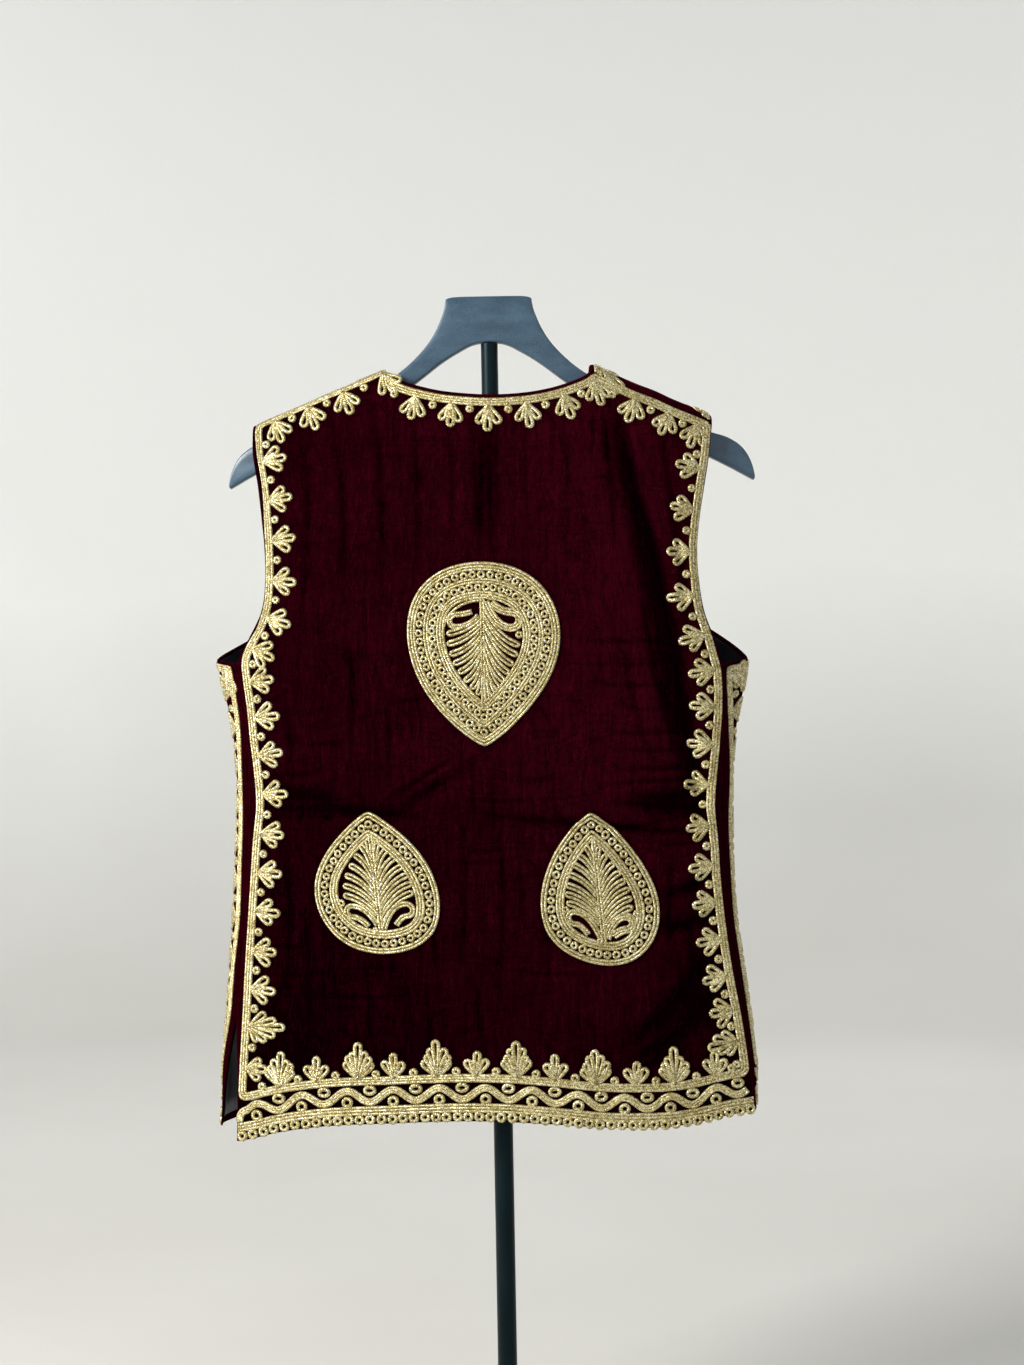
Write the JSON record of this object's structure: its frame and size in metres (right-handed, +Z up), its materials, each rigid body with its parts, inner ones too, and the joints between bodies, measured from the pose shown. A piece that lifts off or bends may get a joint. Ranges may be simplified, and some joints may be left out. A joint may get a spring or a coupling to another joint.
{
  "type": "embroidered velvet vest on a garment stand",
  "caption": "Sleeveless hip-length velvet vest with raised gold couching, hung over the hanger-shaped head of a round-base garment stand.",
  "frame": {"origin": "middle of the underside of the stand's base, on the surface that it stands on", "axes": "+Z up the pole, +X towards the wearer's right, -Y behind the wearer, where the embroidered back faces"},
  "size_m": [0.4675, 0.28, 1.031],
  "materials": {
    "maroon_velvet": "deep pile velvet, crushed",
    "black_satin": "satin lining",
    "gold_couching": "twisted metallic cord, satin",
    "slate_lacquer": "satin lacquer",
    "black_enamelled_steel": "gloss enamel"
  },
  "bodies": {
    "root": {"stand_base": "black_enamelled_steel", "pole_lower": "black_enamelled_steel", "pole_upper": "black_enamelled_steel", "hanger_head": "slate_lacquer", "vest_back": "maroon_velvet", "vest_front_left": "maroon_velvet", "vest_front_right": "maroon_velvet", "lining_back": "black_satin", "lining_front_left": "black_satin", "lining_front_right": "black_satin", "border_back": "gold_couching", "border_front_left": "gold_couching", "border_front_right": "gold_couching", "hem_band_back": "gold_couching", "hem_band_front_left": "gold_couching", "hem_band_front_right": "gold_couching", "medallion_upper": "gold_couching", "medallion_left": "gold_couching", "medallion_right": "gold_couching", "armhole_edge_left": "maroon_velvet", "armhole_edge_right": "maroon_velvet", "neck_edge": "maroon_velvet"}
  },
  "joints": []
}
